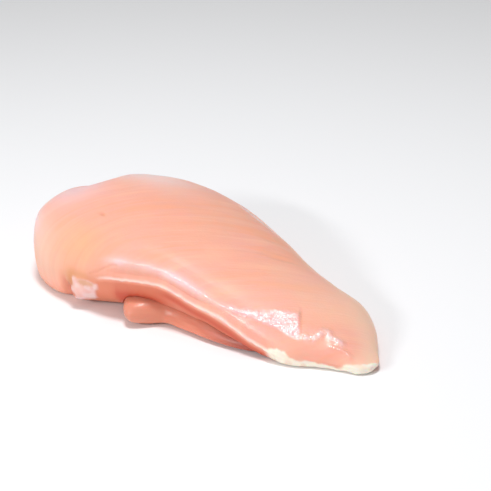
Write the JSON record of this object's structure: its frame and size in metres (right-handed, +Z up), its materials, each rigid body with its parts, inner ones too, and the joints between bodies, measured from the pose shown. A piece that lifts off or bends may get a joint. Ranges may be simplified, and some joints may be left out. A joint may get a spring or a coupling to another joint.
{
  "type": "raw chicken breast",
  "caption": "Raw skinless boneless chicken breast half, domed and teardrop-shaped, with its inner fillet showing under the keel edge.",
  "frame": {"origin": "centre of the bounding box's base, on the surface the breast lies on", "axes": "+X from the thick end to the thin tip, +Y from the keel edge to the rib edge, +Z up through the domed outer side"},
  "size_m": [0.172, 0.0901, 0.0377],
  "materials": {
    "outer_flesh": "moist pale pink raw muscle with fine grain, a cream fat edge and a pale membrane along the keel edge",
    "inner_flesh": "moist, slightly darker rose raw muscle"
  },
  "bodies": {
    "root": {"breast": "outer_flesh", "tenderloin": "inner_flesh"}
  },
  "joints": []
}
